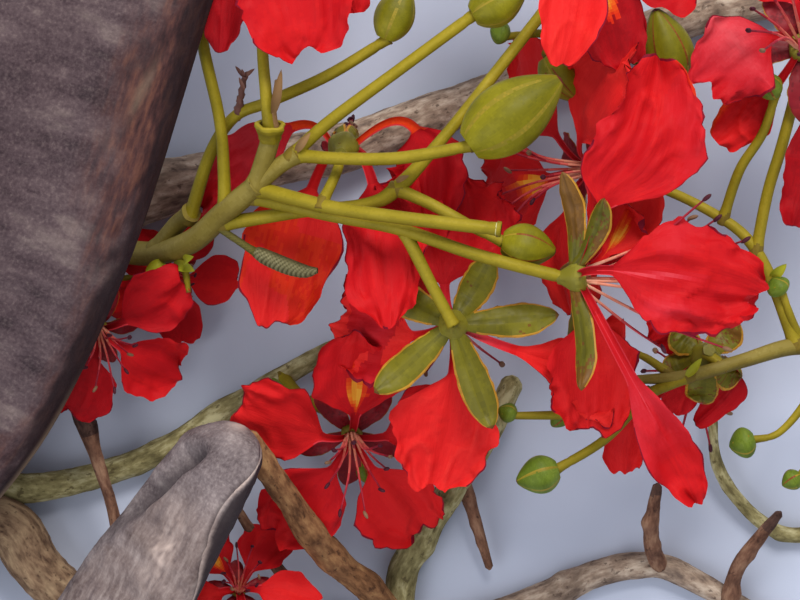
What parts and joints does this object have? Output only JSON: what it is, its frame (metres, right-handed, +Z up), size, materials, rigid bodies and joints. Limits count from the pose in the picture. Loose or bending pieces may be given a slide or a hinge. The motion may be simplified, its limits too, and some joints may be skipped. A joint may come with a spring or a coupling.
{
  "type": "flame tree branch",
  "caption": "Cut flowering branch of a flame tree, lying on its side: woody boughs with racemes of scarlet blooms, green buds and long woody pods.",
  "frame": {"origin": "middle of the branch's box on the surface that it lies on", "axes": "+Z up, away from the surface and towards the blooms; the cut end of the main bough points to -X, and +Y is the way the long pod's stalk end points"},
  "size_m": [0.3632, 0.4108, 0.1032],
  "materials": {
    "bark": "rough grey-brown to sandy bark",
    "stem": "smooth matt yellow-olive stalk",
    "bud": "smooth green bud with yellow seams",
    "petal": "soft scarlet petals with olive sepals",
    "pod": "dark brown-grey mottled pod with a soft sheen",
    "leaf": "furled grey-olive young leaf"
  },
  "bodies": {
    "root": {"main_bough": "bark", "lower_bough": "bark", "bottom_bough": "bark", "upper_bough": "bark", "long_bough": "bark", "side_bough": "bark", "middle_bough": "bark", "pod_bough": "bark", "rear_bough": "bark", "pod_twig": "bark", "rear_twig": "bark", "bent_twig": "bark", "dead_twig": "bark", "tip_twig_1": "bark", "tip_twig_2": "bark", "side_twig": "bark", "side_twig_end": "bark", "front_raceme": "stem", "side_raceme": "stem", "rear_raceme": "stem", "left_raceme": "stem", "middle_raceme": "stem", "low_stalk": "stem", "pod_1": "pod", "pod_2": "pod", "furled_leaf": "leaf", "bud_1": "bud", "bud_2": "bud", "bud_3": "bud", "bud_4": "bud", "bud_5": "bud", "bud_6": "bud", "bud_7": "bud", "bloom_front": "petal", "bloom_side": "petal", "bloom_back": "petal", "bloom_top": "petal", "bloom_upper": "petal", "bloom_right": "petal", "bloom_right_low": "petal", "bloom_far_right": "petal", "bloom_far_left": "petal", "bloom_left": "petal", "bloom_middle": "petal", "bloom_low_left": "petal"}
  },
  "joints": []
}
